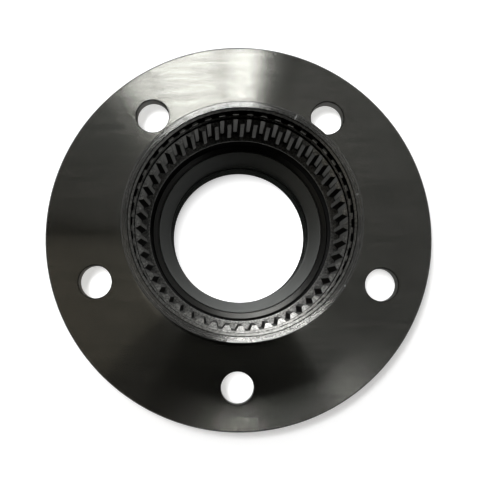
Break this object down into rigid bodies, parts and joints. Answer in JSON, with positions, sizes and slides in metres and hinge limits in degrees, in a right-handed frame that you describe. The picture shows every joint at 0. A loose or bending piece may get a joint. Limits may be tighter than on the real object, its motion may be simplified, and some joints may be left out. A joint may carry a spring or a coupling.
{
  "type": "wheel hub bearing",
  "caption": "Round flanged wheel hub with a long barrel, a toothed speed sensor ring in its mouth and a sealed tapered roller bearing with an open bore.",
  "frame": {"origin": "hub axis at the flange's outboard face", "axes": "+Z along the hub axis towards the barrel's mouth (inboard), -Y through one bolt hole"},
  "size_m": [0.206, 0.206, 0.091],
  "materials": {
    "turned_steel": "fine turned, satin",
    "sensor_steel": "pressed and tumbled",
    "ground_steel": "dark phosphate over ground steel",
    "race_steel": "ground",
    "roller_steel": "superfinished",
    "seal_steel": "bright pressed sheet",
    "seal_rubber": "matt black",
    "cage_polymer": "moulded",
    "spring_steel": "blackened"
  },
  "bodies": {
    "hub": {"hub_body": "turned_steel", "tone_ring": "sensor_steel", "inboard_outer_ring": "race_steel", "outboard_outer_ring": "race_steel", "retaining_ring": "spring_steel", "inboard_seal_case": "seal_steel", "outboard_seal_case": "seal_steel", "inboard_seal_lip": "seal_rubber", "outboard_seal_lip": "seal_rubber"},
    "inner_rings": {"inboard_inner_ring": "ground_steel", "outboard_inner_ring": "ground_steel", "inner_ring_clip": "spring_steel", "inner_ring_o_ring": "seal_rubber", "inboard_slinger": "seal_steel", "outboard_slinger": "seal_steel"},
    "inboard_roller_set": {"inboard_rollers": "roller_steel", "inboard_cage": "cage_polymer"},
    "outboard_roller_set": {"outboard_rollers": "roller_steel", "outboard_cage": "cage_polymer"}
  },
  "joints": [
    {"name": "inner_ring_spin", "type": "hinge", "parent": "hub", "child": "inner_rings", "pos_m": [0, 0, 0.01796], "axis": [0, 0, 1], "continuous": true},
    {"name": "inboard_roller_orbit", "type": "hinge", "parent": "hub", "child": "inboard_roller_set", "pos_m": [0, 0, 0.02429], "axis": [0, 0, 1], "continuous": true},
    {"name": "outboard_roller_orbit", "type": "hinge", "parent": "hub", "child": "outboard_roller_set", "pos_m": [0, 0, 0.01164], "axis": [0, 0, 1], "continuous": true}
  ],
  "couplings": [
    {"joint": "inboard_roller_orbit", "follows": "inner_ring_spin", "ratio": 0.4656},
    {"joint": "outboard_roller_orbit", "follows": "inner_ring_spin", "ratio": 0.4656}
  ]
}
